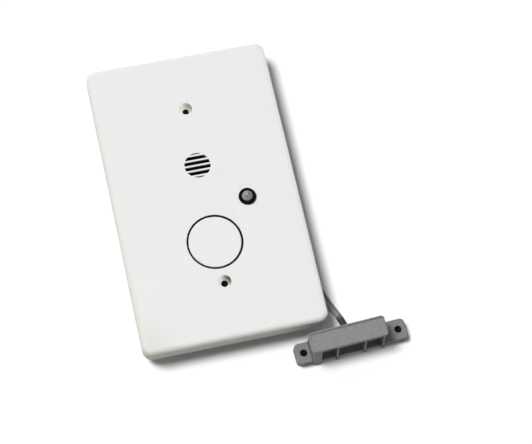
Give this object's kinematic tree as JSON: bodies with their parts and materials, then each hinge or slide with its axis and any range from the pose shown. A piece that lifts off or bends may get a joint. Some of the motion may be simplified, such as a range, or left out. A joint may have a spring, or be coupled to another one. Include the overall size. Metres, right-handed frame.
{
  "type": "door alarm unit with wired magnetic contact",
  "caption": "Slim wall plate alarm unit with a round push button, slotted sounder grille and bezelled light, joined by a flat twin lead to a ribbed magnetic contact with screw ears.",
  "frame": {"origin": "centre of the rear housing's flat back", "axes": "+Z out of the plate's face, +Y up its length with the grille end up, +X to the right seen from the front, towards the light and the lead"},
  "size_m": [0.117, 0.1512, 0.0183],
  "materials": {
    "cover_plastic": "moulded off-white, low sheen",
    "housing_plastic": "moulded cream, low sheen",
    "contact_plastic": "moulded mid grey, fine texture",
    "black_plastic": "moulded black",
    "board_laminate": "green lacquer",
    "capacitor_sleeve": "shrunk sleeve",
    "resistor_coat": "lacquer",
    "clear_plastic": "clear moulded dome",
    "steel": "plated",
    "foam": "closed-cell foam",
    "seal_rubber": "soft black rubber",
    "battery_wrap": "plain wrap",
    "lead_jacket": "flexible grey jacket",
    "copper": "tinned copper",
    "brass": "plain",
    "reed_glass": "clear"
  },
  "bodies": {
    "root": {"front_cover": "cover_plastic", "button_seal": "seal_rubber", "rear_housing": "housing_plastic", "battery_door": "housing_plastic", "battery_door_screws": "steel", "housing_screws": "steel", "circuit_board": "board_laminate", "control_chip": "black_plastic", "capacitor": "capacitor_sleeve", "transistor": "black_plastic", "resistors": "resistor_coat", "switch_case": "black_plastic", "light_lens": "clear_plastic", "light_leads": "steel", "light_bezel": "black_plastic", "bezel_ring": "black_plastic", "sounder_case": "black_plastic", "sounder_gasket": "foam", "battery": "battery_wrap", "battery_plate": "steel", "spring_plate": "steel", "battery_spring": "steel", "lead_gland": "lead_jacket", "lead": "lead_jacket", "board_leads": "copper", "contact_base": "contact_plastic", "contact_cover": "contact_plastic", "contact_bush": "lead_jacket", "reed_capsule": "reed_glass", "reed_leads": "steel", "contact_terminals": "brass", "contact_wires": "copper"},
    "button": {"button_cap": "cover_plastic", "switch_plunger": "black_plastic"}
  },
  "joints": [
    {"name": "button_press", "type": "slide", "parent": "root", "child": "button", "axis": [0, 0, -1], "range_m": [0, 0.0015], "stiffness_N_per_m": 400, "springref_m": -0.0005}
  ]
}
